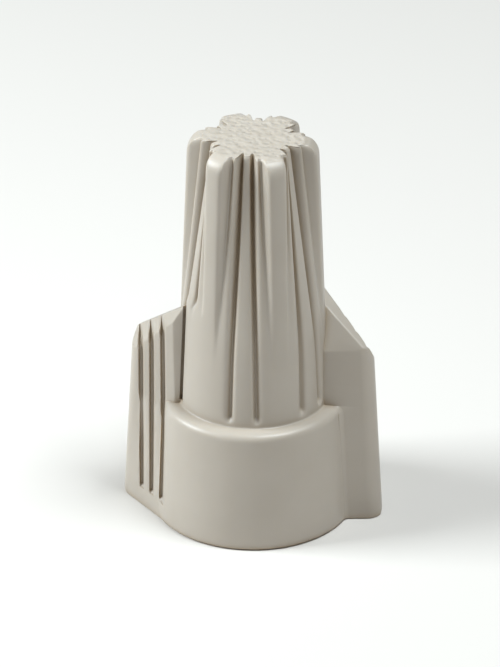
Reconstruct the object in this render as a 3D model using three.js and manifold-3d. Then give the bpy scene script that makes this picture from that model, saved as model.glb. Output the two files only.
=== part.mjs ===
// Winged twist-on wire connector: a moulded shell and the square-wire spring inside it.
// Millimetres, +Z up. The open rim stands on z = 0 and the closed end is at the top.
// The two wings are half a turn apart, one towards +X and one towards -X.
import * as THREE from 'three';
import { mergeVertices } from 'three/addons/utils/BufferGeometryUtils.js';
import Module from 'manifold-3d';

const wasm = await Module();
wasm.setup();

// ---- driving dimensions, mm and degrees ----
const totalHeight = 31.5;
const rimRadius = 7.75;          // skirt, outside, at the open rim
const rimRounding = 0.25;
const shoulderRadius = 7.05;     // skirt, outside, just under its rounded shoulder
const shoulderHeight = 9.6;
const shoulderRounding = 0.6;

const capBaseRadius = 5.8;       // fluted cap where it leaves the shoulder
const capTopRadius = 4.95;
const lobeTopRounding = 1.2;     // the lobes' ends are turned down by this radius
const ribTopRounding = 0.2;      // the ribs between the lobes have only this
const fluteSectors = 6;
const fluteTurn = -8;            // middle of the sector that faces -Y, measured from -Y towards +X
const fluteStart = 0.4;          // flutes begin this far above the shoulder
const longFluteAngle = { base: 10.7, top: 7.5 };
const longFluteWidth = { base: 0.42, top: 0.5 };
const longFluteDepth = { base: 0.3, top: 0.4 };
const shortFluteAngle = { base: 24, top: 17 };
const shortFluteWidth = { base: 0.2, top: 0.45 };
const shortFluteDepth = 0.3;     // at the top
const valleyStart = 0.27;        // share of the cap's height where the valleys and short flutes begin
const valleyDepth = 1.6;         // the rib between two long flutes lies this far back at the top
const lobeRounding = 0.12;       // the lobes between the valleys fall off this much at their edges
const sideRibShare = 0.6;        // the ribs on either side of it lie back by this share of that

const wallAtRim = 1.15;
const shoulderWall = 1;          // the wide part of the bore ends this far below the shoulder
const mouthInnerRadius = 5.3;    // its inner end
const beadRadius = 4.15;         // bead that holds the spring in
const beadHeight = 0.5;
const leadIn = 1.3;              // cone from the mouth up to the bead
const boreBaseRadius = 4.5;
const boreTopRadius = 2.65;
const endWall = 5.7;             // solid above the spring's bore

const wireSide = 0.78;           // square wire
const springTurns = 8;
const springClearance = 0.3;     // all round, and at both ends

const wingOverhang = 1.03;       // centre of the rounded tip, outside the skirt, along X
const wingTipRounding = { base: 1.22, top: 1.07 };
const wingFront = { base: 2.9, top: 2.14 };       // smooth face at the tip, this far in front of the axis
const wingFrontRoot = { x: 5.5, base: 2.9, top: 1.6 }; // the same face beside the cap
const wingHeelBase = { x: 6.45, y: 3.9 };         // end of the ribbed face, beside the cap
const wingHeelTop = { x: 6.1, y: 1.83 };
const wingDraftHeight = 15.2;    // the top values above hold at this height
const wingShoulder = 14.4;       // top edge of the smooth face
const ridgeStep = 0.35;          // height of the narrow step over that edge, at the tip
const tipShoulderFall = 1.7;     // the tip begins to round off this far under the wing's shoulder
const tipShoulderRise = 0.9;     // and ends this far over it,
const tipShoulderInset = 0.25;   // this far outside the middle of the tip
const tipShoulderBulge = 0.4;    // how full the round is
const facetFacing = { azimuth: -104, elevation: 30 }; // sloping facet above the smooth face
const crestRise = { x: -0.544, y: 0.444 };        // slope of the wing's top
const crestEdge = { x: 6.94, y: 0.13, z: 16.3 }; // a point where the top turns down to the ribbed face
const crestEdgeFacing = { azimuth: 20, elevation: 30 };
const wingCornerRounding = 0.5;  // outer bottom corner
const webRounding = 0.6;         // fillet from the skirt to the smooth face
const webSink = 0.04;            // keeps its feather edge inside the skirt's surface
const sideViewMargin = 0.02;     // the side view only trims the corners
const cornerSlotWidth = 0.36;
const cornerSlotInset = 0.12;    // how much of its width is in the wing
const cornerSlotDepth = 0.4;
const fluteStop = 18.7;          // flutes beside each ribbed face stop here, over the wing's top
const fluteStopRamp = 0.3;
const fluteCover = 2.2;          // how far from the ribbed face they are left out

const gripGrooves = 3;
const gripGrooveWidth = 0.38;
const gripGrooveDepth = 0.42;    // along Y
const gripCrestDepth = 0.12;     // square to the crest's slope, where the grooves run up it
const gripCrestMargin = 0.2;     // and this far under its highest line, where they end
const gripGroovePitch = { base: 0.75, top: 0.88 }; // along X
const firstGripInset = 0.18;     // first groove's middle, inside the middle of the wing's tip
const gripGrooveStart = 1.4;     // above the rim

// ---- helpers ----
const { degToRad, radToDeg, lerp, clamp } = THREE.MathUtils;
const slack = 0.5;               // how far a cutter or an embedded root runs past a surface

// Values from a to b in a number of equal steps, both ends included.
function spaced(a, b, steps) {
  return Array.from({ length: steps + 1 }, (_, i) => lerp(a, b, i / steps));
}

function toSolid(geometry) {
  const bare = geometry.clone();
  bare.deleteAttribute('normal');
  bare.deleteAttribute('uv');
  const merged = mergeVertices(bare, 1e-5);
  return new wasm.Manifold(new wasm.Mesh({
    numProp: 3,
    vertProperties: new Float32Array(merged.attributes.position.array),
    triVerts: new Uint32Array(merged.index.array),
  }));
}

function toGeometry(solid) {
  const mesh = solid.getMesh();
  const geometry = new THREE.BufferGeometry();
  geometry.setAttribute('position', new THREE.BufferAttribute(mesh.vertProperties, 3));
  geometry.setIndex(new THREE.BufferAttribute(mesh.triVerts, 1));
  geometry.computeVertexNormals();
  return geometry;
}

// A body of revolution about Z from a list of [radius, height]; it closes on the axis.
function turned(profile, segments = 64) {
  const points = profile.map(([radius, height]) => new THREE.Vector2(radius, height));
  return new THREE.LatheGeometry(points, segments).rotateX(Math.PI / 2);
}

// Points on an arc about (x, y), from one angle to another in degrees, both included.
function arc(x, y, radius, from, to, steps) {
  return spaced(degToRad(from), degToRad(to), steps).map(
    (angle) => [x + radius * Math.cos(angle), y + radius * Math.sin(angle)]);
}

// A prism whose outline changes with height: outlineAt(z) gives the same number of [x, y]
// points, counter-clockwise, for every height in the list.
function lofted(heights, outlineAt) {
  const around = outlineAt(heights[0]).length;
  const geometry = new THREE.CylinderGeometry(1, 1, 1, around, heights.length - 1);
  geometry.rotateX(Math.PI / 2);
  const position = geometry.attributes.position;
  const outlines = heights.map(outlineAt);
  const middles = outlines.map((outline) => [0, 1].map(
    (axis) => outline.reduce((sum, point) => sum + point[axis], 0) / around));
  for (let i = 0; i < position.count; i++) {
    const level = Math.round((position.getZ(i) + 0.5) * (heights.length - 1));
    const onAxis = Math.hypot(position.getX(i), position.getY(i)) < 0.5;
    const angle = Math.atan2(position.getX(i), -position.getY(i));
    const station = Math.round((angle / (2 * Math.PI) + 1) * around) % around;
    const [x, y] = onAxis ? middles[level] : outlines[level][station];
    position.setXYZ(i, x, y, heights[level]);
  }
  return geometry;
}

// ---- fluted cap ----
const capHeight = totalHeight - shoulderHeight;
const sectorHalf = 180 / fluteSectors;

// Half a sector of the cap's section at share t of its height, from the middle rib outwards:
// [angle from the sector's middle, radius].
function halfSector(t, start) {
  const radius = lerp(capBaseRadius, capTopRadius, t);
  const valley = clamp((t - valleyStart) / (1 - valleyStart), 0, 1);
  const rib = radius - valleyDepth * valley;
  const side = radius - sideRibShare * valleyDepth * valley;
  const long = lerp(longFluteAngle.base, longFluteAngle.top, t);
  const longHalf = radToDeg(lerp(longFluteWidth.base, longFluteWidth.top, t) / 2 / radius);
  const longDepth = start * lerp(longFluteDepth.base, longFluteDepth.top, t);
  const short = lerp(shortFluteAngle.base, shortFluteAngle.top, t);
  const shortHalf = radToDeg(lerp(shortFluteWidth.base, shortFluteWidth.top, t) / 2 / radius);
  return [
    [0, rib],
    [long - longHalf, rib],
    [long, rib - longDepth],
    [long + longHalf, side],
    [short - shortHalf, side],
    [short, side - shortFluteDepth * valley],
    [short + shortHalf, radius - lobeRounding * valley],
    [(short + shortHalf + sectorHalf) / 2, radius],
    [sectorHalf, radius],
  ];
}

function capRadius(z) {
  return lerp(capBaseRadius, capTopRadius, clamp((z - shoulderHeight) / capHeight, 0, 1));
}

// Flutes that would come up beside a wing's heel are left out below fluteStop.
function isCovered(x, y, z) {
  const beside = Math.sign(x) * y - wingHeelTop.y;
  return z < fluteStop && Math.abs(x) > capTopRadius / 2 && beside > 0 && beside < fluteCover;
}

// How far a rounded top edge has drawn in at a height.
function drawnIn(z, rounding) {
  const rise = clamp((z - totalHeight) / rounding + 1, 0, 1);
  return rounding * (1 - Math.sqrt(1 - rise * rise));
}

function capOutline(z) {
  const t = clamp((z - shoulderHeight) / capHeight, 0, 1);
  const start = clamp((z - shoulderHeight - fluteStart) / fluteStart, 0, 1);
  const turnedDown = capRadius(z) - drawnIn(z, lobeTopRounding);
  const half = halfSector(t, start);
  const otherHalf = half.slice(1, -1).reverse().map(([angle, radius]) => [-angle, radius]);
  const sector = [...half, ...otherHalf];
  const outline = [];
  for (let k = 0; k < fluteSectors; k++) {
    sector.forEach(([angle, radius], i) => {
      const turn = (i < half.length ? k : k + 1) * 2 * sectorHalf;
      const phi = degToRad(fluteTurn - 90 + turn + angle);
      const [cos, sin] = [Math.cos(phi), Math.sin(phi)];
      const rounded = Math.min(radius - drawnIn(z, ribTopRounding), turnedDown);
      const final = isCovered(radius * cos, radius * sin, z) ? capRadius(z) : rounded;
      outline.push([final * cos, final * sin]);
    });
  }
  return outline;
}

function cap() {
  const roundingStart = totalHeight - lobeTopRounding;
  const flutes = spaced(shoulderHeight + 2 * fluteStart, roundingStart, 8);
  const rounding = arc(0, roundingStart, lobeTopRounding, 0, 90, 6).slice(1).map(([, z]) => z);
  const stop = [fluteStop - fluteStopRamp / 10, fluteStop + fluteStopRamp];
  const foot = [shoulderHeight - slack, shoulderHeight + fluteStart];
  const heights = [...foot, ...flutes, ...rounding, ...stop];
  return lofted(heights.sort((a, b) => a - b), capOutline);
}

// ---- skirt and bore ----
function skirt() {
  const edge = arc(rimRadius - rimRounding, rimRounding, rimRounding, -90, 0, 4);
  const shoulder = arc(shoulderRadius - shoulderRounding, shoulderHeight - shoulderRounding,
    shoulderRounding, 0, 90, 6);
  return turned([[0, 0], ...edge, ...shoulder, [0, shoulderHeight]], 96);
}

const mouthDepth = shoulderHeight - shoulderWall;
const beadStart = mouthDepth + leadIn;
const boreStart = beadStart + 2 * beadHeight;
const boreEnd = totalHeight - endWall;

function bore() {
  const rim = rimRadius - wallAtRim;
  return turned([
    [0, -slack], [rim, -slack], [rim, 0],
    [mouthInnerRadius, mouthDepth],
    [beadRadius, beadStart], [beadRadius, beadStart + beadHeight],
    [boreBaseRadius, boreStart],
    [boreTopRadius, boreEnd],
    [0, boreEnd + boreTopRadius / 4],
  ]);
}

// ---- wings ----
// The wing towards +X; the other is the same wing turned half round.
const wingReach = { base: rimRadius + wingOverhang, top: shoulderRadius + wingOverhang };

function wingShare(z) {
  return z / wingDraftHeight;
}

// The smooth face runs straight from beside the cap to the tip.
function wingFrontAt(z, x) {
  const t = wingShare(z);
  const inner = lerp(wingFrontRoot.base, wingFrontRoot.top, t);
  const outer = lerp(wingFront.base, wingFront.top, t);
  const reach = lerp(wingReach.base, wingReach.top, t);
  return -lerp(inner, outer, (x - wingFrontRoot.x) / (reach - wingFrontRoot.x));
}

function wingOutline(z) {
  const t = wingShare(z);
  const radius = lerp(wingTipRounding.base, wingTipRounding.top, t);
  const reach = lerp(wingReach.base, wingReach.top, t);
  const tip = new THREE.Vector2(reach, wingFrontAt(z, reach) + radius);
  const heelTop = new THREE.Vector2(wingHeelTop.x, wingHeelTop.y);
  const heel = new THREE.Vector2(wingHeelBase.x, wingHeelBase.y)
    .lerp(heelTop, clamp(z / shoulderHeight, 0, 1));
  const root = boreBaseRadius - slack;
  // Tangent from the heel to the tip's circle gives the ribbed face.
  const across = heel.clone().sub(tip);
  const normal = radToDeg(across.angle() - Math.acos(radius / across.length()));
  return [
    [root, wingFrontAt(z, root)],
    ...arc(tip.x, tip.y, radius, -90, normal, 6),
    [heel.x, heel.y],
    [root, heel.y],
  ];
}

// Half space above a plane through a point, as a box to subtract.
function above(point, normal) {
  const size = 3 * totalHeight;
  const up = new THREE.Vector3(0, 0, 1);
  const turn = new THREE.Quaternion().setFromUnitVectors(up, normal.normalize());
  const box = new THREE.BoxGeometry(size, size, size).translate(0, 0, size / 2);
  return toSolid(box.applyQuaternion(turn).translate(point.x, point.y, point.z));
}

// Direction from an azimuth, measured from +X towards +Y, and an elevation, in degrees.
function facing({ azimuth, elevation }) {
  const [a, e] = [degToRad(azimuth), degToRad(elevation)];
  return new THREE.Vector3(
    Math.cos(e) * Math.cos(a), Math.cos(e) * Math.sin(a), Math.sin(e));
}

// Side view of the wing: the outer edge leans in, with round corners at both ends.
function wingSideView() {
  const edge = (z) => sideViewMargin + lerp(
    wingReach.base + wingTipRounding.base, wingReach.top + wingTipRounding.top, wingShare(z));
  const shoulderStart = wingShoulder - tipShoulderFall;
  const shape = new THREE.Shape();
  shape.moveTo(0, 0);
  shape.lineTo(edge(0) - wingCornerRounding, 0);
  shape.quadraticCurveTo(edge(0), 0, edge(wingCornerRounding), wingCornerRounding);
  shape.lineTo(edge(shoulderStart), shoulderStart);
  shape.quadraticCurveTo(
    edge(wingShoulder), wingShoulder + tipShoulderBulge,
    wingReach.top + tipShoulderInset, wingShoulder + tipShoulderRise);
  shape.lineTo(0, totalHeight);
  const depth = 4 * wingReach.base;
  const geometry = new THREE.ExtrudeGeometry(shape, { depth, bevelEnabled: false, curveSegments: 6 });
  return geometry.rotateX(Math.PI / 2).translate(0, depth / 2, 0);
}

// Y of a groove's floor, which runs under the ribbed face and then up over the crest.
function grooveFloor(x, z) {
  const [tangent, heel] = wingOutline(z).slice(-3, -1);
  const ribbed = lerp(heel[1], tangent[1], (x - heel[0]) / (tangent[0] - heel[0]));
  const normal = facing(crestEdgeFacing);
  const over = normal.x * (x - crestEdge.x) + normal.z * (z - crestEdge.z) + gripCrestDepth;
  return Math.min(ribbed - gripGrooveDepth, crestEdge.y - over / normal.y);
}

// Height of the line where the wing's top meets the crest's slope.
function crestLine(x) {
  const normal = facing(crestEdgeFacing);
  const fall = { x: normal.x / normal.z, y: normal.y / normal.z };
  const slope = crestEdge.z - fall.x * (x - crestEdge.x) + fall.y * crestEdge.y;
  const top = wingShoulder + ridgeStep + crestRise.x * (x - wingReach.top)
    + crestRise.y * wingFront.top;
  return top + crestRise.y * (slope - top) / (fall.y + crestRise.y);
}

function gripGroove(number) {
  const grooveAt = (share) => wingReach.base - firstGripInset
    - number * lerp(gripGroovePitch.base, gripGroovePitch.top, share);
  const end = crestLine(grooveAt(1)) - gripCrestMargin;
  return lofted(spaced(gripGrooveStart, end, 24), (z) => {
    const x = grooveAt(wingShare(z));
    const half = gripGrooveWidth / 2;
    const floor = grooveFloor(x, z);
    const outside = floor + 2 * rimRadius;
    return [[x + half, floor], [x + half, outside], [x - half, outside], [x - half, floor]];
  });
}

function wing() {
  const heights = spaced(0, fluteStop, 12);
  const ridgeFoot = new THREE.Vector3(
    wingReach.top, -wingFront.top, wingShoulder + ridgeStep);
  const frontEdge = new THREE.Vector3(wingReach.top, -wingFront.top, wingShoulder);
  return toSolid(lofted(heights, wingOutline))
    .subtract(above(ridgeFoot, new THREE.Vector3(-crestRise.x, -crestRise.y, 1)))
    .subtract(above(frontEdge, facing(facetFacing)))
    .subtract(above(crestEdge, facing(crestEdgeFacing)))
    .intersect(toSolid(wingSideView()));
}

// Fillet between the skirt and the wing's smooth face.
function web() {
  return lofted(spaced(0, shoulderHeight - shoulderRounding, 4), (z) => {
    const skirtRadius = lerp(rimRadius, shoulderRadius, z / shoulderHeight) - webSink;
    const face = wingFrontAt(z, skirtRadius);
    const y = face - webRounding;
    const x = Math.sqrt((skirtRadius + webRounding) ** 2 - y * y);
    const toSkirt = radToDeg(Math.atan2(-y, -x));
    return [
      [x, face],
      [x - 2 * webRounding, face + slack],
      ...arc(x, y, webRounding, toSkirt, 90, 6).slice(0, -1),
    ];
  });
}

// Slot between the cap and the wing, where the flute beside the ribbed face would run.
function cornerSlot() {
  const heights = [shoulderHeight + fluteStart, (shoulderHeight + fluteStop) / 2, fluteStop + slack];
  return lofted(heights, (z) => {
    const beside = Math.sqrt(capRadius(z) ** 2 - wingHeelTop.y ** 2);
    const [inner, outer] = [beside + cornerSlotInset - cornerSlotWidth, beside + cornerSlotInset];
    const [near, far] = [wingHeelTop.y - cornerSlotDepth, wingHeelTop.y + slack];
    return [[outer, near], [outer, far], [inner, far], [inner, near]];
  });
}

function shell() {
  const bothSides = (solid) => solid.add(solid.rotate([0, 0, 180]));
  let solid = toSolid(skirt())
    .add(toSolid(cap()))
    .add(bothSides(wing().add(toSolid(web()))))
    .subtract(bothSides(toSolid(cornerSlot())));
  for (let i = 0; i < gripGrooves; i++) {
    solid = solid.subtract(bothSides(toSolid(gripGroove(i))));
  }
  return toGeometry(solid.subtract(toSolid(bore())));
}

// ---- spring ----
// A conical helix whose frames face the axis, so that a corner of the square wire bites inwards.
class ConicalHelix extends THREE.Curve {
  constructor(baseRadius, topRadius, base, top, turns) {
    super();
    Object.assign(this, { baseRadius, topRadius, base, top, turns });
  }

  getPoint(t, target = new THREE.Vector3()) {
    const angle = 2 * Math.PI * this.turns * t;
    const radius = lerp(this.baseRadius, this.topRadius, t);
    const z = lerp(this.base, this.top, t);
    return target.set(radius * Math.cos(angle), radius * Math.sin(angle), z);
  }

  getPointAt(u, target) {
    return this.getPoint(u, target);
  }

  computeFrenetFrames(segments) {
    const tangents = [];
    const normals = [];
    const binormals = [];
    for (let i = 0; i <= segments; i++) {
      const tangent = this.getTangent(i / segments);
      const inward = this.getPoint(i / segments).setZ(0).negate().normalize();
      const binormal = new THREE.Vector3().crossVectors(tangent, inward).normalize();
      tangents.push(tangent);
      binormals.push(binormal);
      normals.push(new THREE.Vector3().crossVectors(binormal, tangent));
    }
    return { tangents, normals, binormals };
  }
}

function spring() {
  const corner = wireSide / Math.SQRT2;
  const square = new THREE.Shape([[corner, 0], [0, corner], [-corner, 0], [0, -corner]].map(
    ([x, y]) => new THREE.Vector2(x, y)));
  const base = boreStart + springClearance + corner;
  const top = boreEnd - springClearance - corner;
  const boreAt = (z) => lerp(boreBaseRadius, boreTopRadius, (z - boreStart) / (boreEnd - boreStart));
  const wireRadius = (z) => boreAt(z + corner) - springClearance - corner;
  const helix = new ConicalHelix(wireRadius(base), wireRadius(top), base, top, springTurns);
  const steps = 24 * springTurns;
  return new THREE.ExtrudeGeometry(square, { steps, bevelEnabled: false, extrudePath: helix });
}

// ---- the group ----
const resin = new THREE.MeshStandardMaterial({ color: 0xb8b1a4, roughness: 0.45, metalness: 0 });
const steel = new THREE.MeshStandardMaterial({ color: 0xb4b7ba, roughness: 0.35, metalness: 1 });

const group = new THREE.Group();
for (const [name, geometry, material] of [
  ['moulded_shell', shell(), resin],
  ['grip_spring', spring(), steel],
]) {
  const mesh = new THREE.Mesh(geometry, material);
  mesh.name = name;
  group.add(mesh);
}

export default group;
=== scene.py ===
"""A winged twist-on wire connector: its moulded shell, the spring inside it, and a plain studio."""

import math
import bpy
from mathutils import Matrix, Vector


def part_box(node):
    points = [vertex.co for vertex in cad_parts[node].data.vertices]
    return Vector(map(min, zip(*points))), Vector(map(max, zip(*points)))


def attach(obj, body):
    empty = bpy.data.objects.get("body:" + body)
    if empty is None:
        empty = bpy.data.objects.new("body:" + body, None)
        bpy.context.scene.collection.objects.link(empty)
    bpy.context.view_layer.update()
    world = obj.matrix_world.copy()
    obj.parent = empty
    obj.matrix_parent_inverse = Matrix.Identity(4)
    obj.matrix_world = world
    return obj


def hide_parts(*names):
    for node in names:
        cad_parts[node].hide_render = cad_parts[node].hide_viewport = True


bl_info = {
    "name": "Twist Wire Connector",
    "version": (1, 0, 0),
    "blender": (4, 5, 0),
    "location": "View3D > Sidebar > Connector",
    "description": "Models a winged twist-on wire connector, its spring and a studio stage",
    "category": "Add Mesh",
}

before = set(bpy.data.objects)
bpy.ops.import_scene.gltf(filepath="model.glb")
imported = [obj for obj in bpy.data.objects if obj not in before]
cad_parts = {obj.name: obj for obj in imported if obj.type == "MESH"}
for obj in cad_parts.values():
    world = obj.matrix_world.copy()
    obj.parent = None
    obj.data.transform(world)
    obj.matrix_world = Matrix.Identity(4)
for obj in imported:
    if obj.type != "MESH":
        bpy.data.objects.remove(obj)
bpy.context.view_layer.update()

import bmesh
import bpy
from bpy.props import FloatProperty, FloatVectorProperty, IntProperty, PointerProperty
from mathutils import Vector

MM = 0.001
SHELL_LOW, SHELL_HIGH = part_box("moulded_shell")
SPRING_LOW, SPRING_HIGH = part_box("grip_spring")

SECTORS = 6                # repeats of the cap's flutes
STATION = "station"        # vertex layer that remembers a point's place round its ring


# ---------------------------------------------------------------- sizes and colours


def length(name, description, default):
    """A size in metres, shown in the user's units."""
    return FloatProperty(
        name=name, description=description, default=default, unit="LENGTH", precision=5
    )


def srgb(hex_colour):
    """An sRGB hex colour as the linear triple that shaders take."""
    channels = [int(hex_colour[i : i + 2], 16) / 255 for i in (1, 3, 5)]
    return tuple(
        c / 12.92 if c <= 0.04045 else ((c + 0.055) / 1.055) ** 2.4 for c in channels
    )


def colour(name, description, hex_colour):
    return FloatVectorProperty(
        name=name, description=description, default=srgb(hex_colour), subtype="COLOR",
        min=0, max=1,
    )


class ShellSize(bpy.types.PropertyGroup):
    """The skirt, the fluted cap and the bore"""

    height: length("Height", "Open rim to closed end", SHELL_HIGH.z)
    rim_radius: length("Rim radius", "Outside of the skirt at its open rim", SHELL_HIGH.y)
    shoulder_radius: length("Shoulder radius", "Outside of the skirt at its top", 7.05 * MM)
    shoulder_height: length("Shoulder height", "Where the cap rises from the skirt", 9.6 * MM)
    shoulder_rounding: length("Shoulder rounding", "Round of the skirt's top edge", 0.6 * MM)
    cap_base: length("Cap base radius", "Cap where it leaves the shoulder", 5.8 * MM)
    cap_top: length("Cap top radius", "Over the lobes at the closed end", 4.95 * MM)
    lobe_rounding: length("Lobe rounding", "How far the lobes' ends turn down", 1.2 * MM)
    rib_rounding: length("Rib rounding", "Round of the ribs' ends between the lobes", 0.22 * MM)
    valley_depth: length("Valley depth", "How far the ribs lie back at the closed end", 1.6 * MM)
    flute_depth: length("Flute depth", "Depth of a long flute under its rib", 0.52 * MM)
    flute_width: length("Flute width", "Width of a long flute", 0.46 * MM)
    wall: length("Wall", "Wall of the skirt at its rim", 1.15 * MM)
    mouth_depth: length("Mouth depth", "Depth of the wide part of the bore", 8.6 * MM)
    mouth_radius: length("Mouth radius", "Inner end of the wide part", 5.3 * MM)
    bead_radius: length("Bead radius", "Bead that holds the spring in", 4.15 * MM)
    bore_base: length("Bore base radius", "Spring bore at its mouth", 4.5 * MM)
    bore_top: length("Bore top radius", "Spring bore at its closed end", 2.65 * MM)


class WingSize(bpy.types.PropertyGroup):
    """The wings, their grip grooves and the slot beside each"""

    reach_base: length("Reach at the rim", "Axis to the middle of the round tip", 8.78 * MM)
    reach_top: length("Reach at the top", "The same at the wing's shoulder", 8.08 * MM)
    shoulder: length("Shoulder", "Top edge of the smooth face", 14.4 * MM)
    edge_rounding: length("Edge rounding", "Round of the wing's edges", 0.16 * MM)
    scoop: length("Finger scoop", "Hollow of the ribbed face", 0.18 * MM)
    groove_width: length("Groove width", "Grip groove between its walls", 0.32 * MM)
    crest_depth: length("Crest depth", "Grip groove where it runs over the crest", 0.22 * MM)
    groove_depth: length("Groove depth", "Grip groove under the ribbed face", 0.25 * MM)
    web: length("Web", "Fillet from the skirt to the smooth face", 0.6 * MM)
    slot_width: length("Slot width", "Slot between the cap and the wing", 0.25 * MM)


class SpringSize(bpy.types.PropertyGroup):
    """The coil of square wire"""

    wire: length("Wire", "Side of the square wire", 0.78 * MM)
    corner: length("Corner", "Flat drawn on each corner of the wire", 0.07 * MM)
    turns: IntProperty(name="Turns", description="Turns of the coil", default=8, min=3, max=16)


class Finish(bpy.types.PropertyGroup):
    """Colours"""

    resin: colour("Resin", "The moulded shell", "#b6aea3")
    resin_deep: colour("Resin, deep", "The shell's darker mottling", "#ada498")
    steel: colour("Steel", "The zinc-plated wire", "#c3c6c9")
    # Painted shade: the colour that an ambient-occlusion mask darkens flutes and grooves towards.
    painted_recess_shade: colour("Resin, recessed", "The resin's depth in flutes and grooves", "#9a8870")
    floor: colour("Floor", "The stage", "#d4d0cb")


# ---------------------------------------------------------------- modelling by hand


def deselect_all():
    if bpy.context.object and bpy.context.object.mode != "OBJECT":
        bpy.ops.object.mode_set(mode="OBJECT")
    bpy.ops.object.select_all(action="DESELECT")


def pick(piece):
    """Makes a piece the only selected object, and the active one."""
    deselect_all()
    piece.select_set(True)
    bpy.context.view_layer.objects.active = piece
    return piece


def start_ring(name, stations, radius, z):
    """A filled circle in edit mode, its points numbered anticlockwise from -Y."""
    deselect_all()
    bpy.ops.mesh.primitive_circle_add(
        vertices=stations, radius=radius, fill_type="NGON", location=(0, 0, z)
    )
    piece = bpy.context.object
    piece.name = name
    bpy.ops.object.transform_apply(location=True, rotation=True, scale=True)
    bpy.ops.object.mode_set(mode="EDIT")
    bpy.ops.mesh.select_mode(type="VERT")
    bpy.ops.mesh.select_all(action="SELECT")
    mesh = bmesh.from_edit_mesh(piece.data)
    layer = mesh.verts.layers.int.new(STATION)
    for vertex in mesh.verts:
        turn = math.atan2(vertex.co.x, -vertex.co.y) / (2 * math.pi)
        vertex[layer] = round(turn * stations) % stations
    bmesh.update_edit_mesh(piece.data)
    return piece


def ring_members(piece):
    """The selected points' numbers and places."""
    mesh = bmesh.from_edit_mesh(piece.data)
    layer = mesh.verts.layers.int[STATION]
    return {v[layer]: v.co.copy() for v in mesh.verts if v.select}


def select_stations(piece, wanted):
    """Selects the tagged ring's points whose numbers are wanted."""
    mesh = bmesh.from_edit_mesh(piece.data)
    layer = mesh.verts.layers.int[STATION]
    for vertex in mesh.verts:
        vertex.select = vertex.tag and vertex[layer] in wanted
    mesh.select_flush_mode()
    bmesh.update_edit_mesh(piece.data)


def tag_ring(piece):
    """Tags the selected points, so that a ring can be found again once its points are apart."""
    mesh = bmesh.from_edit_mesh(piece.data)
    for vertex in mesh.verts:
        vertex.tag = vertex.select
    bmesh.update_edit_mesh(piece.data)


def finish_solid(piece):
    """Ends edit mode with doubles merged and every face pointing outwards."""
    bpy.ops.mesh.select_all(action="SELECT")
    bpy.ops.mesh.remove_doubles(threshold=0.0005 * MM)
    bpy.ops.mesh.normals_make_consistent(inside=False)
    bpy.ops.object.mode_set(mode="OBJECT")
    return piece


def loft(name, heights, outline_at):
    """A solid drawn upwards from ring to ring, outline_at(z) giving each ring's points."""
    first = outline_at(heights[0])
    piece = start_ring(name, len(first), MM, heights[0])
    for i, z in enumerate(heights):
        if i:
            rise = z - heights[i - 1]
            bpy.ops.mesh.extrude_region_move(TRANSFORM_OT_translate={"value": (0, 0, rise)})
        tag_ring(piece)
        places = ring_members(piece)
        for station, (x, y) in enumerate(outline_at(z)):
            select_stations(piece, {station})
            move = Vector((x - places[station].x, y - places[station].y, 0))
            bpy.ops.transform.translate(value=move)
        select_stations(piece, set(places))
    return finish_solid(piece)


def apply_modifier(piece, kind, **settings):
    pick(piece)
    modifier = piece.modifiers.new(kind.title(), kind)
    for key, value in settings.items():
        setattr(modifier, key, value)
    bpy.ops.object.modifier_apply(modifier=modifier.name)
    return piece


def combine(piece, tool, operation):
    """Joins a tool to a piece, or cuts it away, and removes the tool."""
    apply_modifier(piece, "BOOLEAN", operation=operation, solver="EXACT", object=tool)
    bpy.data.objects.remove(tool, do_unlink=True)
    return piece


def half_turn_copy(piece):
    """The same piece half a turn round the axis, with its own mesh."""
    pick(piece)
    bpy.ops.object.duplicate(linked=False)
    copy = bpy.context.object
    bpy.ops.transform.rotate(value=math.pi, orient_axis="Z", center_override=(0, 0, 0))
    bpy.ops.object.transform_apply(location=True, rotation=True, scale=True)
    return copy


def slice_off(piece, point, normal):
    """Cuts away what lies beyond a plane and closes the cut."""
    pick(piece)
    bpy.ops.object.mode_set(mode="EDIT")
    bpy.ops.mesh.select_all(action="SELECT")
    bpy.ops.mesh.bisect(plane_co=point, plane_no=normal, use_fill=True, clear_outer=True)
    return finish_solid(piece)


def facing(azimuth, elevation):
    """The direction at an azimuth, from +X towards +Y, and an elevation, in degrees."""
    a, e = math.radians(azimuth), math.radians(elevation)
    return Vector((math.cos(e) * math.cos(a), math.cos(e) * math.sin(a), math.sin(e)))


def mix(low, high, share):
    return low + (high - low) * share


def clamp(value):
    return min(max(value, 0.0), 1.0)


def arc(centre, radius, start, end, steps):
    """Points on an arc, both ends included, with angles in degrees."""
    points = []
    for i in range(steps + 1):
        turn = math.radians(mix(start, end, i / steps))
        points.append((centre[0] + radius * math.cos(turn), centre[1] + radius * math.sin(turn)))
    return points


# ---------------------------------------------------------------- shell


VALLEY_START = 0.27        # share of the cap's height where the valleys begin
SIDE_RIB = 0.6             # share of the valley's depth by which the ribs beside it lie back
FLUTE_START = 0.35 * MM    # the flutes begin this far above the shoulder
FLUTE_RUN_IN = 0.45 * MM   # and are fully open after this
FLUTE_FADE = 0.85          # share of their depth that they have at the bottom
LONG_FLUTE_AT = (10.7, 7.5)    # degrees from the sector's middle, at the bottom and the top
SHORT_FLUTE_AT = (24.0, 17.0)
SHORT_FLUTE_HALF = (0.16 * MM, 0.24 * MM)
SHORT_FLUTE_DEPTH = 0.34 * MM


def cap_share(size, z):
    """How far up the cap a height is, from 0 at the shoulder to 1 at the closed end."""
    return clamp((z - size.shoulder_height) / (size.height - size.shoulder_height))


def cap_radius(size, z):
    return mix(size.cap_base, size.cap_top, cap_share(size, z))


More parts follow.
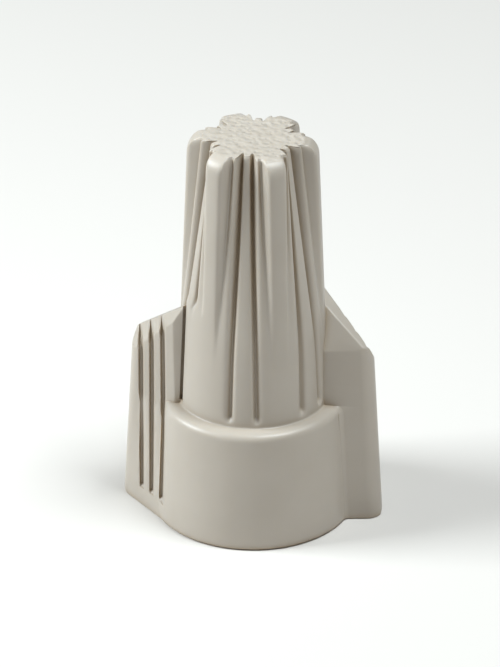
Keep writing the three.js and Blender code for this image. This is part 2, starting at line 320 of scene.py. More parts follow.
def sector_section(size, z):
    """One sector of the cap at a height: for each station the angle from the sector's middle,
    in degrees, and the radius. Two long flutes stand either side of the middle rib, with a
    short flute outside each, and a lobe fills the rest."""
    share = cap_share(size, z)
    valley = clamp((share - VALLEY_START) / (1 - VALLEY_START))
    opened = clamp((z - size.shoulder_height - FLUTE_START) / FLUTE_RUN_IN)
    radius = cap_radius(size, z)
    rib = radius - size.valley_depth * valley
    side = radius - SIDE_RIB * size.valley_depth * valley
    short_depth = SHORT_FLUTE_DEPTH * valley
    flute = size.flute_depth * opened * mix(FLUTE_FADE, 1, share)
    half = math.degrees(size.flute_width / 2 / radius)
    long_at = mix(*LONG_FLUTE_AT, share)
    short_at = mix(*SHORT_FLUTE_AT, share)
    short_half = math.degrees(mix(*SHORT_FLUTE_HALF, share) / radius)
    ends = 180 / SECTORS
    lobe_edge = short_at + short_half
    out = [
        (0.0, rib),
        (0.62 * (long_at - half), rib - 0.01 * MM),
        (long_at - 1.12 * half, rib - 0.08 * flute),
        (long_at - 0.62 * half, rib - 0.9 * flute),
        (long_at + 0.42 * half, rib - flute),
        (long_at + 1.0 * half, mix(side, rib - flute, 0.12)),
        (mix(long_at + 1.5 * half, short_at, 0.3), side),
        (short_at - 1.3 * short_half, side - 0.25 * short_depth),
        (short_at, side - short_depth),
        (lobe_edge, mix(side, radius, 0.72)),
        (mix(lobe_edge, ends, 0.22), radius - 0.02 * MM * valley),
        (mix(lobe_edge, ends, 0.6), radius),
        (ends, radius),
    ]
    return out + [(-a, r) for a, r in reversed(out[1:-1])]


FLUTE_TURN = -98.0         # middle of one sector, in degrees from +X towards +Y
FLUTE_STOP = 18.7 * MM     # the wing's root ends here, and so do the gaps in the flutes
HEEL_X = 6.1 * MM          # the end of the ribbed face, beside the cap
HEEL_Y = 1.83 * MM


def cap_section(size, z):
    """The whole section at a height, as (angle, radius) of every station."""
    out = []
    for sector in range(SECTORS):
        for offset, radius in sector_section(size, z):
            turn = FLUTE_TURN + 360 / SECTORS * (sector + (offset < 0)) + offset
            out.append((turn, max(radius, covered(size, z, turn, radius))))
    return out


COVER_REACH = (0.5 * MM, 2.6 * MM)  # the plain stretch of the cap, to either side of the heel
COVER_BLEND = (0.3 * MM, 0.4 * MM)  # width over which it passes into the flutes on each side
COVER_RISE = 0.6 * MM               # it ends this far above FLUTE_STOP
COVER_FADE = 1.5 * MM               # after fading over this height


def covered(size, z, turn, radius):
    """The flutes beside a wing's ribbed face fade out below the wing's top."""
    x, y = radius * math.cos(math.radians(turn)), radius * math.sin(math.radians(turn))
    beside = (y if x > 0 else -y) - HEEL_Y
    near = clamp((beside + COVER_REACH[0]) / COVER_BLEND[0])
    near *= clamp((COVER_REACH[1] - beside) / COVER_BLEND[1])
    below = clamp((FLUTE_STOP + COVER_RISE - z) / COVER_FADE)
    below = below * below * (3 - 2 * below)
    full = near * below if abs(x) > size.cap_top / 2 else 0
    return mix(radius, cap_radius(size, z), full)


def plain_section(size, radius):
    """A circle with its points at the angles that the flutes start from."""
    return [(turn, radius) for turn, _ in cap_section(size, size.shoulder_height)]


def rounded_section(size, z):
    """A section near the closed end, where the lobes turn down and the ribs' ends are eased."""

    def drawn_in(rounding):
        rise = clamp((z - size.height) / rounding + 1)
        return rounding * (1 - math.sqrt(1 - rise * rise))

    limit = cap_radius(size, z) - drawn_in(size.lobe_rounding)
    eased = drawn_in(size.rib_rounding)
    return [(turn, min(radius - eased, limit)) for turn, radius in cap_section(size, z)]


def body_rings(size):
    """Every ring of the outside from the rim up, as (height, section)."""
    top, foot = size.height, size.shoulder_height
    rim, shoulder, lip = size.rim_radius, size.shoulder_radius, size.shoulder_rounding
    skirt = [
        (0.0, 0.86 * rim), (0.0, rim - 0.3 * MM), (0.03 * MM, rim - 0.12 * MM),
        (0.14 * MM, rim - 0.02 * MM), (0.4 * MM, rim - 0.02 * MM),
    ]
    for share in (0.25, 0.5, 0.75):
        skirt.append((mix(0.4 * MM, foot - lip, share), mix(rim, shoulder, share * 0.97)))
    skirt.append((foot - 1.3 * lip, shoulder + 0.01 * MM))
    skirt += [(foot - lip + y, shoulder - lip + x) for x, y in arc((0, 0), lip, 0, 90, 5)]
    skirt += [
        (foot, mix(shoulder - lip, size.cap_base, 0.5)), (foot, size.cap_base + 0.14 * MM),
        (foot + 0.04 * MM, size.cap_base + 0.03 * MM), (foot + 0.16 * MM, size.cap_base),
    ]
    rings = [(z, plain_section(size, radius)) for z, radius in skirt]
    heights = [foot + rise * MM for rise in (0.32, 0.45, 0.6, 0.8, 1.1, 1.8)]
    turning = top - size.lobe_rounding
    heights += [mix(foot + 2.8 * MM, turning - 0.3 * MM, i / 9) for i in range(10)]
    heights += [FLUTE_STOP + rise * MM for rise in (-0.9, -0.5, -0.1, 0.25, 0.6)]
    rings += [(z, cap_section(size, z)) for z in heights]
    ends = [turning + rise for _, rise in arc((0, 0), size.lobe_rounding, 0, 90, 6)]
    ends += [top - 0.6 * size.rib_rounding]
    rings += [(z, rounded_section(size, z)) for z in ends]
    return sorted(rings, key=lambda ring: ring[0])


def shape_ring(piece, old, new):
    """Turns and draws the ring's points from one section to the next, like with like."""
    moves = {}
    for i, ((old_turn, old_radius), (turn, radius)) in enumerate(zip(old, new)):
        key = (round(radius / old_radius, 5), round(turn - old_turn, 4))
        moves.setdefault(key, set()).add(i)
    for (ratio, turn), stations in moves.items():
        select_stations(piece, stations)
        if ratio != 1:
            bpy.ops.transform.resize(value=(ratio, ratio, 1), center_override=(0, 0, 0))
        if turn:
            # With no window the operator turns clockwise for a positive angle.
            bpy.ops.transform.rotate(
                value=-math.radians(turn), orient_axis="Z", center_override=(0, 0, 0)
            )
    select_stations(piece, set(range(len(new))))


def fluted_body(size):
    """Skirt, shoulder and fluted cap as one solid, drawn up ring by ring and rounded off."""
    rings = body_rings(size)
    z, section = rings[0]
    count = len(section)
    piece = start_ring("shell", count, section[0][1], z)
    tag_ring(piece)
    even = [(360 / count * i - 90, section[0][1]) for i in range(count)]
    aim = [(turn - FLUTE_TURN - 90, radius) for turn, radius in section]
    shape_ring(piece, even, aim)
    for next_z, next_section in rings[1:]:
        bpy.ops.mesh.extrude_region_move(TRANSFORM_OT_translate={"value": (0, 0, next_z - z)})
        tag_ring(piece)
        shape_ring(piece, section, next_section)
        z, section = next_z, next_section
    for share in (0.93, 0.8, 0.6):
        bpy.ops.mesh.extrude_region_move(TRANSFORM_OT_translate={"value": (0, 0, 0)})
        bpy.ops.transform.resize(value=(share, share, 1), center_override=(0, 0, 0))
    bpy.ops.mesh.poke()
    bpy.ops.mesh.select_all(action="SELECT")
    bpy.ops.transform.rotate(
        value=-math.radians(FLUTE_TURN + 90), orient_axis="Z", center_override=(0, 0, 0)
    )
    finish_solid(piece)
    return apply_modifier(piece, "SUBSURF", levels=1, render_levels=1)


def ring_stack(name, rings, segments=96):
    """A turned solid from (radius, height) rings, drawn up from the first."""
    radius, z = rings[0]
    piece = start_ring(name, segments, radius, z)
    for next_radius, next_z in rings[1:]:
        bpy.ops.mesh.extrude_region_move(TRANSFORM_OT_translate={"value": (0, 0, next_z - z)})
        ratio = next_radius / radius
        bpy.ops.transform.resize(value=(ratio, ratio, 1), center_override=(0, 0, next_z))
        radius, z = next_radius, next_z
    return finish_solid(piece)


LEAD_IN = 1.3 * MM             # cone from the mouth up to the bead
BEAD_LENGTH = 1.0 * MM         # from the bead up to where the spring's bore is full
SPRING_CLEARANCE = 0.3 * MM


def bore(size):
    """The hollow: a wide mouth, a lead-in, the bead under the spring, and the spring's bore."""
    rim = size.rim_radius - size.wall
    bead = size.mouth_depth + LEAD_IN
    start = bead + BEAD_LENGTH
    end = SPRING_HIGH.z + SPRING_CLEARANCE
    return ring_stack("bore", [
        (rim + 0.2 * MM, -MM), (rim + 0.2 * MM, 0), (rim, 0.2 * MM),
        (size.mouth_radius, size.mouth_depth),
        (size.bead_radius + 0.1 * MM, bead - 0.1 * MM),
        (size.bead_radius, bead + 0.1 * MM), (size.bead_radius, bead + 0.4 * MM),
        (size.bore_base, start), (size.bore_top, end - 0.3 * MM),
        (size.bore_top - 0.3 * MM, end), (0.5 * size.bore_top, end + 0.4 * MM),
    ])


# ---------------------------------------------------------------- wings


WING_DRAFT = 15.2 * MM     # the wing's upper sizes hold at this height
CREST_EDGE = Vector((6.94, 0.13, 16.3)) * MM
CREST_FACING = facing(20, 30)
# Cuts that round the tip in side view: x and z of a point in mm, and the way it faces.
TIP_ROUND = (
    (9.21, 13.65, 10), (9.02, 14.4, 21), (8.87, 14.7, 29), (8.72, 14.95, 38), (8.52, 15.15, 49),
    (9.96, 0.3, -22), (9.88, 0.12, -45), (9.73, 0.04, -68),
)
TOP_RISE = Vector((0.544, -0.444, 1))       # the way that the sloping top faces
FACET_FACING = facing(-104, 30)             # the facet over the smooth face
WING_ROOT_X = 5.5 * MM                      # where the smooth face's inner end is measured
WING_FRONT_ROOT = (2.9 * MM, 1.6 * MM)      # smooth face there, in front of the axis
WING_FRONT_TIP = (2.9 * MM, 2.14 * MM)      # and over the middle of the tip
TIP_RADIUS = (1.22 * MM, 1.07 * MM)
HEEL_BASE = (6.45 * MM, 3.9 * MM)           # heel at the rim; it leans to HEEL_X, HEEL_Y
SCOOP_TOP = 17 * MM                         # the finger scoop ends at this height
RIDGE_STEP = 0.35 * MM


def ridge_foot(wing):
    """Where the wing's sloping top meets the smooth face, over the middle of the tip."""
    return Vector((wing.reach_top, -WING_FRONT_TIP[1], wing.shoulder + RIDGE_STEP))


def smooth_face(wing, z, x):
    """Y of the smooth face, which runs straight from beside the cap to the tip."""
    share = z / WING_DRAFT
    inner, outer = mix(*WING_FRONT_ROOT, share), mix(*WING_FRONT_TIP, share)
    reach = mix(wing.reach_base, wing.reach_top, share)
    return -mix(inner, outer, (x - WING_ROOT_X) / (reach - WING_ROOT_X))


def wing_outline(size, wing, z):
    """The +X wing's section at a height, anticlockwise from its root on the smooth face."""
    share = z / WING_DRAFT
    radius = mix(*TIP_RADIUS, share)
    reach = mix(wing.reach_base, wing.reach_top, share)
    tip = Vector((reach, smooth_face(wing, z, reach) + radius))
    lean = clamp(z / size.shoulder_height)
    heel = Vector((mix(HEEL_BASE[0], HEEL_X, lean), mix(HEEL_BASE[1], HEEL_Y, lean)))
    across = heel - tip
    turn = math.atan2(across.y, across.x) - math.acos(radius / across.length)
    rounded = arc(tip, radius, -90, math.degrees(turn), 10)
    tangent = Vector(rounded[-1])
    inwards = Vector((-math.cos(turn), -math.sin(turn)))
    hollow = wing.scoop * math.sin(math.pi * clamp(z / SCOOP_TOP)) ** 2
    ribbed = [
        tuple(tangent.lerp(heel, s) + inwards * hollow * math.sin(math.pi * s * 0.62))
        for s in (0.2, 0.4, 0.6, 0.8, 1.0)
    ]
    root = size.cap_top - MM
    return [(root, smooth_face(wing, z, root)), *rounded, *ribbed, (root, heel.y)]


def wing_blank(size, wing):
    """One wing with its sloping top, facet and rounded edges, still without grooves."""
    heights = [0.0, 2 * MM, 4.5 * MM, 7 * MM, size.shoulder_height]
    heights += [mix(size.shoulder_height, FLUTE_STOP, i / 5) for i in range(1, 6)]
    piece = loft("wing", heights, lambda z: wing_outline(size, wing, z))
    foot = ridge_foot(wing)
    slice_off(piece, foot, TOP_RISE.normalized())
    slice_off(piece, Vector((foot.x, foot.y, wing.shoulder)), FACET_FACING)
    slice_off(piece, CREST_EDGE, CREST_FACING)
    for x, z, elevation in TIP_ROUND:
        slice_off(piece, Vector((x, 0, z)) * MM, facing(0, elevation))
    return apply_modifier(
        piece, "BEVEL", width=wing.edge_rounding, segments=3, limit_method="ANGLE",
        angle_limit=math.radians(24), harden_normals=False,
    )


def web(size, wing):
    """The fillet where the skirt runs into the smooth face."""

    def outline(z):
        skirt = skirt_radius(size, z) - 0.03 * MM
        face = smooth_face(wing, z, skirt) + 0.01 * MM
        y = face - wing.web
        x = math.sqrt((skirt + wing.web) ** 2 - y * y)
        start = math.degrees(math.atan2(-y, -x))
        bow = arc((x, y), wing.web, start, 90, 8)
        return [(x, face), (x - 2 * wing.web, face + 0.5 * MM), *bow[:-1]]

    foot = size.shoulder_height - size.shoulder_rounding
    heights = [0.12 * MM, foot / 3, foot / 1.5]
    heights += [foot + rise for _, rise in arc((0, 0), size.shoulder_rounding, 0, 80, 6)]
    return loft("web", heights, outline)


def skirt_radius(size, z):
    """The skirt's outside, with its rounded shoulder."""
    over = max(z - size.shoulder_height + size.shoulder_rounding, 0)
    drawn_in = size.shoulder_rounding - math.sqrt(size.shoulder_rounding ** 2 - over * over)
    return mix(size.rim_radius, size.shoulder_radius, z / size.shoulder_height) - drawn_in


SLOT_INSET = 0.14 * MM              # the slot's outer wall, beyond the cap's side
SLOT_REACH = (0.45 * MM, 0.6 * MM)  # how far it runs to either side of the heel
SLOT_FOOT = 0.3 * MM                # its lower end, above the shoulder


def corner_slot(size, wing):
    """The dark slot between the cap and the wing's heel."""

    def outline(z):
        radius = cap_radius(size, z)
        x = math.sqrt(radius * radius - HEEL_Y * HEEL_Y) + SLOT_INSET
        near, far = HEEL_Y - SLOT_REACH[0], HEEL_Y + SLOT_REACH[1]
        left = x - wing.slot_width
        return [(left, near), (x, near), (x, far), (left, far)]

    foot = size.shoulder_height + SLOT_FOOT
    return loft("slot", [foot, mix(foot, FLUTE_STOP, 0.5), FLUTE_STOP + 0.5 * MM], outline)


def ribbed_surface(size, wing, x, z):
    """Y of the outermost wall at x: the wing's ribbed face, or the skirt where it is further."""
    outline = wing_outline(size, wing, z)[11:17]
    for (x0, y0), (x1, y1) in zip(outline, outline[1:]):
        if x1 <= x <= x0:
            y = mix(y0, y1, (x0 - x) / (x0 - x1))
            break
    else:
        y = outline[-1][1]
    if z > size.shoulder_height - size.shoulder_rounding:
        return y
    skirt = mix(size.rim_radius, size.shoulder_radius, z / size.shoulder_height)
    return max(y, math.sqrt(max(skirt * skirt - x * x, 0)))


# A grip groove's half section, as shares of its half width and its depth. The lip stands a
# little clear of the face, so that the cut has a clean edge.
GROOVE_PROFILE = ((0.5, 1.0), (0.85, 0.7), (1.1, 0.25), (1.6, -0.12))

GROOVE_START = 1.4 * MM    # height of a grip groove's lower end
GROOVE_TOP = 16.5 * MM     # the upper places of the grooves are measured here
GROOVE_ENTRY = 0.25 * MM   # height over which a groove sinks to its depth
CREST_FADE = 0.5 * MM      # and over which it runs out on the crest
# Each grip groove's x at the rim and at the wing's top, and how far it bows towards the cap.
GRIP_GROOVES = ((8.6, 8.56, 0.0), (7.85, 7.71, 0.02), (7.11, 6.86, 0.1))


def crest_line(wing, x):
    """Height of the line where the wing's top meets the crest's slope."""
    fall = CREST_FACING / CREST_FACING.z
    slope = CREST_EDGE.z - fall.x * (x - CREST_EDGE.x) + fall.y * CREST_EDGE.y
    foot = ridge_foot(wing)
    top = foot.z - TOP_RISE.x * (x - foot.x) + TOP_RISE.y * foot.y
    return top - TOP_RISE.y * (slope - top) / (fall.y - TOP_RISE.y)


def grip_groove(size, wing, number):
    """A cutter for one groove: round at its lower end, with softened lips, running up over the
    wing's crest."""
    base, top, bow = (value * MM for value in GRIP_GROOVES[number])
    start = GROOVE_START
    half = wing.groove_width / 2

    def outline(z):
        share = z / GROOVE_TOP
        x = mix(base, top, share) - bow * math.sin(math.pi * clamp(share)) ** 2
        begun = clamp((z - start + 0.01 * MM) / GROOVE_ENTRY) ** 0.5
        crest_depth = wing.crest_depth * clamp((crest_line(wing, x) - z) / CREST_FADE)
        lower = min(ribbed_surface(size, wing, x + side, z) for side in (half, -half))

        def wall(across, sink):
            out = Vector((x + across, 0, z)) - CREST_EDGE
            crest = CREST_EDGE.y - (out.x * CREST_FACING.x + out.z * CREST_FACING.z
                                    + sink * crest_depth) / CREST_FACING.y
            lip = ribbed_surface(size, wing, x + across, z)
            face = lip - sink * begun * (lip - lower + wing.groove_depth)
            return x + across, min(face, crest)

        outer = [wall(half * width, sink) for width, sink in GROOVE_PROFILE]
        inner = [wall(-half * width, sink) for width, sink in reversed(GROOVE_PROFILE)]
        clear = inner[0][1] + wing.reach_top
        return [*outer, (outer[-1][0], clear), (inner[0][0], clear), *inner]

    heights = [start, start + 0.06 * MM, start + GROOVE_ENTRY]
    heights += [mix(start + GROOVE_ENTRY, FLUTE_STOP, i / 22) for i in range(1, 23)]
    return loft("groove", heights, outline)


def drop_slivers(piece):
    """Deletes the hair-thin faces that a cut left hanging by one edge."""
    bpy.ops.mesh.select_all(action="DESELECT")
    bpy.ops.mesh.select_mode(type="FACE")
    mesh = bmesh.from_edit_mesh(piece.data)
    for face in mesh.faces:
        face.select = sum(edge.is_boundary for edge in face.edges) > 1
    bmesh.update_edit_mesh(piece.data)
    bpy.ops.mesh.delete(type="FACE")
    bpy.ops.mesh.select_mode(type="VERT")


def shell(size, wing):
    piece = fluted_body(size)
    added = [wing_blank(size, wing), web(size, wing)]
    for part in added:
        twin = half_turn_copy(part)
        combine(piece, part, "UNION")
        combine(piece, twin, "UNION")
    cutters = [corner_slot(size, wing)]
    cutters += [grip_groove(size, wing, i) for i in range(len(GRIP_GROOVES))]
    for cutter in cutters:
        twin = half_turn_copy(cutter)
        combine(piece, cutter, "DIFFERENCE")
        combine(piece, twin, "DIFFERENCE")
    combine(piece, bore(size), "DIFFERENCE")
    pick(piece)
    bpy.ops.object.mode_set(mode="EDIT")
    bpy.ops.mesh.select_all(action="SELECT")
    bpy.ops.mesh.quads_convert_to_tris(quad_method="BEAUTY", ngon_method="BEAUTY")
    bpy.ops.mesh.dissolve_degenerate(threshold=0.002 * MM)
    drop_slivers(piece)
    finish_solid(piece)
    bpy.ops.object.shade_smooth_by_angle(angle=math.radians(32))
    return piece


# ---------------------------------------------------------------- spring


COIL_TAPER = (4.5 - 2.65) / 14.9    # fall of the coil's radius with height, close to the bore's


def spring(size):
    """A conical coil of square wire, a corner inwards, as a swept curve made a mesh."""
    half = size.wire / math.sqrt(2)
    low, high = SPRING_LOW.z + half, SPRING_HIGH.z - half
    widest = SPRING_HIGH.x - half
    deselect_all()
    bpy.ops.curve.primitive_bezier_circle_add(radius=MM)
    profile = bpy.context.object
    outline = profile.data.splines
    outline.remove(outline[0])
    square = outline.new("POLY")
    corners = []
    for quarter in range(4):
        turn = math.pi / 2 * quarter
        along = Vector((math.cos(turn), math.sin(turn)))
        across = Vector((-along.y, along.x)) * size.corner / 2
        corners += [along * half - across, along * half + across]
    square.points.add(len(corners) - 1)
    for point, corner in zip(square.points, corners):
        point.co = (corner.x, corner.y, 0, 1)
    square.use_cyclic_u = True

    bpy.ops.curve.primitive_nurbs_path_add(radius=MM)
    wire = bpy.context.object
    wire.name = "spring"
    wire.data.splines.remove(wire.data.splines[0])
    path = wire.data.splines.new("POLY")
    steps = 48 * size.turns
    path.points.add(steps)
    for i, point in enumerate(path.points):
        share = i / steps
        turn = 2 * math.pi * size.turns * share
        radius = widest - COIL_TAPER * (high - low) * share
        point.co = (radius * math.cos(turn), radius * math.sin(turn), mix(low, high, share), 1)
    wire.data.dimensions = "3D"
    wire.data.twist_mode = "Z_UP"
    wire.data.bevel_mode = "OBJECT"
    wire.data.bevel_object = profile
    wire.data.use_fill_caps = True
    pick(wire)
    bpy.ops.object.convert(target="MESH")
    bpy.data.objects.remove(profile, do_unlink=True)
    pick(wire)
    bpy.ops.object.mode_set(mode="EDIT")
    finish_solid(wire)
    bpy.ops.object.shade_smooth_by_angle(angle=math.radians(30))
    return wire


# ---------------------------------------------------------------- materials


def node(tree, kind, links=(), **settings):
    """Adds a node. A setting named for an input sets it, any other sets the node's property,
    and links is a list of (output socket, input name)."""
    made = tree.nodes.new(kind)
    for key, value in settings.items():
        name = key.replace("_", " ")
        if name in made.inputs:
            made.inputs[name].default_value = value
        else:
            setattr(made, key, value)
    for socket, name in links:
        tree.links.new(socket, made.inputs[name])
    return made


def new_material(name):
    material = bpy.data.materials.new(name)
    material.use_nodes = True
    return material, material.node_tree, material.node_tree.nodes["Principled BSDF"]


def moulded_polypropylene(finish, size):
    """Polypropylene from a fine-etched mould: a waxy half gloss that lets a little light in,
    a faint grain all over, and a coarse spark-eroded texture on the closed end only."""
    material, tree, surface = new_material("moulded_polypropylene")
    place = node(tree, "ShaderNodeTexCoord").outputs["Object"]

    # Slow, faint mottling from the resin's flow, some 4 mm across.
    flow = node(tree, "ShaderNodeTexNoise", [(place, "Vector")],
                Scale=1 / (4 * MM), Detail=3.0, Roughness=0.5)
    tint = node(tree, "ShaderNodeMix", [(flow.outputs["Fac"], "Factor")], data_type="RGBA")
    tint.inputs["A"].default_value = (*finish.resin_deep, 1)
    tint.inputs["B"].default_value = (*finish.resin, 1)

    # Painted shade: an ambient-occlusion mask darkens narrow flutes and grooves towards a deeper,
    # warmer resin tone, standing in for the shade there and the light that has been through the
    # resin. It fades out 0.9 mm from a wall.
    openness = node(tree, "ShaderNodeAmbientOcclusion", samples=8)
    openness.inputs["Distance"].default_value = 0.9 * MM
    reach = node(tree, "ShaderNodeMapRange", [(openness.outputs["AO"], "Value")])
    reach.inputs["From Min"].default_value = 0.25
    reach.inputs["From Max"].default_value = 0.85
    depth = node(tree, "ShaderNodeMix", [(reach.outputs["Result"], "Factor")], data_type="RGBA")
    depth.inputs["A"].default_value = (*finish.painted_recess_shade, 1)
    tree.links.new(tint.outputs["Result"], depth.inputs["B"])
    tree.links.new(depth.outputs["Result"], surface.inputs["Base Color"])

    # The moulded grain is about 0.05 mm, too fine to show, so it is drawn at 0.16 mm.
    grain = node(tree, "ShaderNodeTexNoise", [(place, "Vector")],
                 Scale=1 / (0.16 * MM), Detail=2.0, Roughness=0.6)
    fine = node(tree, "ShaderNodeBump", [(grain.outputs["Fac"], "Height")],
                Strength=0.35, Distance=0.006 * MM)

    # Spark-eroded pits on the closed end, 0.4 mm apart, fading out at its rounded edge.
    pits = node(tree, "ShaderNodeTexVoronoi", [(place, "Vector")],
                Scale=1 / (0.42 * MM), Randomness=1.0, feature="SMOOTH_F1")
    height = node(tree, "ShaderNodeSeparateXYZ", [(place, "Vector")]).outputs["Z"]
    at_top = node(tree, "ShaderNodeMapRange", [(height, "Value")])
    at_top.inputs["From Min"].default_value = size.height - 0.1 * MM
    at_top.inputs["From Max"].default_value = size.height - 0.005 * MM
    coarse = node(tree, "ShaderNodeMath",
                  [(pits.outputs["Distance"], 0), (at_top.outputs["Result"], 1)],
                  operation="MULTIPLY")
    rough_end = node(tree, "ShaderNodeBump",
                     [(coarse.outputs["Value"], "Height"), (fine.outputs["Normal"], "Normal")],
                     Strength=1.0, Distance=0.16 * MM)
    tree.links.new(rough_end.outputs["Normal"], surface.inputs["Normal"])

    # Handling polishes the skin unevenly.
    polish = node(tree, "ShaderNodeTexNoise", [(place, "Vector")],
                  Scale=1 / (1.6 * MM), Detail=4.0, Roughness=0.6)
    gloss = node(tree, "ShaderNodeMapRange", [(polish.outputs["Fac"], "Value")])
    gloss.inputs["To Min"].default_value = 0.34
    gloss.inputs["To Max"].default_value = 0.46
    tree.links.new(gloss.outputs["Result"], surface.inputs["Roughness"])

    surface.inputs["IOR"].default_value = 1.49
    surface.inputs["Subsurface Weight"].default_value = 0.25
    surface.inputs["Subsurface Radius"].default_value = (1.0, 0.8, 0.55)
    surface.inputs["Subsurface Scale"].default_value = 0.5 * MM
    return material


def zinc_plated_wire(finish):
    """Hard-drawn steel wire with bright zinc plating: a cool metal with faint draw lines and
    a cloudy bloom."""
    material, tree, surface = new_material("zinc_plated_wire")
    place = node(tree, "ShaderNodeTexCoord").outputs["Object"]
    bloom = node(tree, "ShaderNodeTexNoise", [(place, "Vector")],
                 Scale=1 / (0.7 * MM), Detail=4.0, Roughness=0.65)
    tint = node(tree, "ShaderNodeMix", [(bloom.outputs["Fac"], "Factor")], data_type="RGBA")
    tint.inputs["A"].default_value = (*(c * 0.72 for c in finish.steel), 1)
    tint.inputs["B"].default_value = (*finish.steel, 1)
    tree.links.new(tint.outputs["Result"], surface.inputs["Base Color"])
    gloss = node(tree, "ShaderNodeMapRange", [(bloom.outputs["Fac"], "Value")])
    gloss.inputs["To Min"].default_value = 0.22
    gloss.inputs["To Max"].default_value = 0.42
    tree.links.new(gloss.outputs["Result"], surface.inputs["Roughness"])
    # Draw lines run round the coil, so across it they are rings. The real ones are too fine to
    # show, so they are drawn 0.16 mm apart.
    lines = node(tree, "ShaderNodeTexWave", [(place, "Vector")], wave_type="BANDS",
                 bands_direction="Z", Scale=1 / (0.5 * MM), Distortion=1.5, Detail=2.0)
    drawn = node(tree, "ShaderNodeBump", [(lines.outputs["Fac"], "Height")],
                 Strength=0.3, Distance=0.01 * MM)
    tree.links.new(drawn.outputs["Normal"], surface.inputs["Normal"])
    surface.inputs["Metallic"].default_value = 1.0
    return material


def matt_paper(finish):
    """Seamless studio paper: matt and even, with the slightest tooth."""
    material, tree, surface = new_material("matt_paper")
    place = node(tree, "ShaderNodeTexCoord").outputs["Object"]
    tooth = node(tree, "ShaderNodeTexNoise", [(place, "Vector")], Scale=1 / (0.8 * MM))
    bump = node(tree, "ShaderNodeBump", [(tooth.outputs["Fac"], "Height")],
                Strength=0.1, Distance=0.01 * MM)
    tree.links.new(bump.outputs["Normal"], surface.inputs["Normal"])
    surface.inputs["Base Color"].default_value = (*finish.floor, 1)
    surface.inputs["Roughness"].default_value = 1.0
    surface.inputs["Specular IOR Level"].default_value = 0.1
    return material


# ---------------------------------------------------------------- operators and panel


class MESH_OT_connector_shell(bpy.types.Operator):
    """Model the moulded shell: skirt, fluted cap, wings and bore"""

    bl_idname = "mesh.connector_shell"
    bl_label = "Add Shell"

    def execute(self, context):
        scene = context.scene
        piece = shell(scene.connector_shell, scene.connector_wing)
        piece.data.materials.clear()
        piece.data.materials.append(
            moulded_polypropylene(scene.connector_finish, scene.connector_shell)
        )
        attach(piece, "root")
        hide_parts("moulded_shell")
        return {"FINISHED"}


class MESH_OT_connector_spring(bpy.types.Operator):
    """Model the coil of square wire inside the cap"""

    bl_idname = "mesh.connector_spring"
    bl_label = "Add Spring"

    def execute(self, context):
        scene = context.scene
        piece = spring(scene.connector_spring)
        piece.data.materials.clear()
        piece.data.materials.append(zinc_plated_wire(scene.connector_finish))
        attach(piece, "root")
        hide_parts("grip_spring")
        return {"FINISHED"}


class SCENE_OT_connector_stage(bpy.types.Operator):
    """Lay the floor and set the lights and the camera"""

    bl_idname = "scene.connector_stage"
    bl_label = "Set Stage"

    def execute(self, context):
        stage_floor(context.scene.connector_finish)
        stage_lights()
        stage_camera(context.scene)
        return {"FINISHED"}


class VIEW3D_PT_connector(bpy.types.Panel):
    """Sizes, colours and the steps that build the connector"""

    bl_label = "Twist Wire Connector"
    bl_space_type = "VIEW_3D"
    bl_region_type = "UI"
    bl_category = "Connector"

    def draw(self, context):
        layout = self.layout
        for group, title in GROUPS:
            settings = getattr(context.scene, group)
            box = layout.box()
            box.label(text=title)
            for name in settings.__annotations__:
                box.prop(settings, name)
        for step in STEPS:
            layout.operator(step.bl_idname)


# ---------------------------------------------------------------- stage


def stage_floor(finish):
    deselect_all()
    bpy.ops.mesh.primitive_plane_add(size=3.0, location=(0, 0, -0.02 * MM))
    floor = bpy.context.object
    floor.name = "floor"
    bpy.ops.object.transform_apply(location=True, rotation=True, scale=True)
    floor.data.materials.append(matt_paper(finish))


COOL_WHITE = (0.885, 0.96, 1.0)
SNOOT_REACH = 15 * MM      # radius of its light on the cap
SNOOT_FACE = 20 * MM       # radius of its lit face


def aimed_lamp(kind, name, target, azimuth, elevation, distance, power):
    """A lamp some way from its target, turned towards it."""
    away = facing(azimuth, elevation)
    deselect_all()
    bpy.ops.object.light_add(type=kind, location=target + away * distance)
    lamp = bpy.context.object
    lamp.name = name
    lamp.rotation_euler = away.to_track_quat("Z", "Y").to_euler()
    lamp.data.energy = power
    lamp.data.color = COOL_WHITE
    return lamp


def softbox(name, azimuth, elevation, distance, size, power):
    """A square softbox aimed at the middle of the connector."""
    middle = Vector((0, 0, SHELL_HIGH.z / 2))
    lamp = aimed_lamp("AREA", name, middle, azimuth, elevation, distance, power)
    lamp.data.shape = "SQUARE"
    lamp.data.size = size


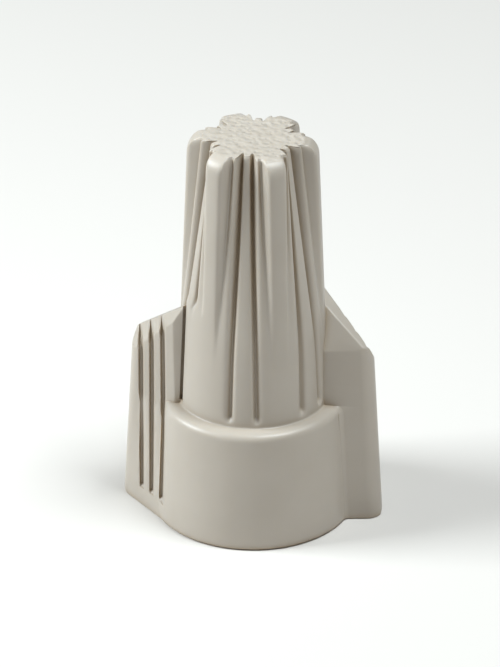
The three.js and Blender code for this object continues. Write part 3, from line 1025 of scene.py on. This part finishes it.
def snoot(name, azimuth, elevation, distance, power):
    """A narrow soft-edged lamp on the cap alone."""
    middle = Vector((0, 0, mix(SPRING_LOW.z, SHELL_HIGH.z, 0.62)))
    lamp = aimed_lamp("SPOT", name, middle, azimuth, elevation, distance, power)
    lamp.data.spot_size = 2 * math.atan(SNOOT_REACH / distance)
    lamp.data.spot_blend = 1.0
    lamp.data.shadow_soft_size = SNOOT_FACE


def stage_lights():
    softbox("key_softbox", -179, 34, 0.30, 0.12, 1.14)
    softbox("top_softbox", -20, 72, 0.30, 0.10, 0.89)
    snoot("cap_snoot", -80, 48, 0.25, 0.5)
    world = bpy.data.worlds.new("studio")
    bpy.context.scene.world = world
    world.use_nodes = True
    backdrop = world.node_tree.nodes["Background"]
    backdrop.inputs["Color"].default_value = (1.0, 0.94, 0.88, 1)
    backdrop.inputs["Strength"].default_value = 0.16


def stage_camera(scene):
    """A long lens, 28.6 degrees above the horizon, aimed so that the connector stands a little
    below the middle of the picture."""
    lens, sensor = 300.0, 36.0
    picture_height = 50.9 * MM
    aim = Vector((-0.23 * MM, 0, 14.7 * MM))
    away = facing(-90, 28.6)
    deselect_all()
    bpy.ops.object.camera_add(location=aim + away * picture_height * lens / sensor)
    camera = bpy.context.object
    camera.name = "camera"
    camera.rotation_euler = away.to_track_quat("Z", "Y").to_euler()
    camera.data.lens = lens
    camera.data.sensor_width = sensor
    camera.data.clip_start = 0.01
    scene.camera = camera
    scene.view_settings.view_transform = "Standard"


# ---------------------------------------------------------------- registration


STEPS = (MESH_OT_connector_shell, MESH_OT_connector_spring, SCENE_OT_connector_stage)
CLASSES = (ShellSize, WingSize, SpringSize, Finish, *STEPS, VIEW3D_PT_connector)
GROUPS = (
    ("connector_shell", "Shell"),
    ("connector_wing", "Wings"),
    ("connector_spring", "Spring"),
    ("connector_finish", "Colours"),
)


def register():
    for cls in CLASSES:
        bpy.utils.register_class(cls)
    for (group, _), cls in zip(GROUPS, CLASSES):
        setattr(bpy.types.Scene, group, PointerProperty(type=cls))


def unregister():
    for group, _ in GROUPS:
        delattr(bpy.types.Scene, group)
    for cls in reversed(CLASSES):
        bpy.utils.unregister_class(cls)


def main():
    register()
    bpy.ops.scene.connector_stage()
    bpy.ops.mesh.connector_shell()
    bpy.ops.mesh.connector_spring()


if __name__ == "__main__":
    main()
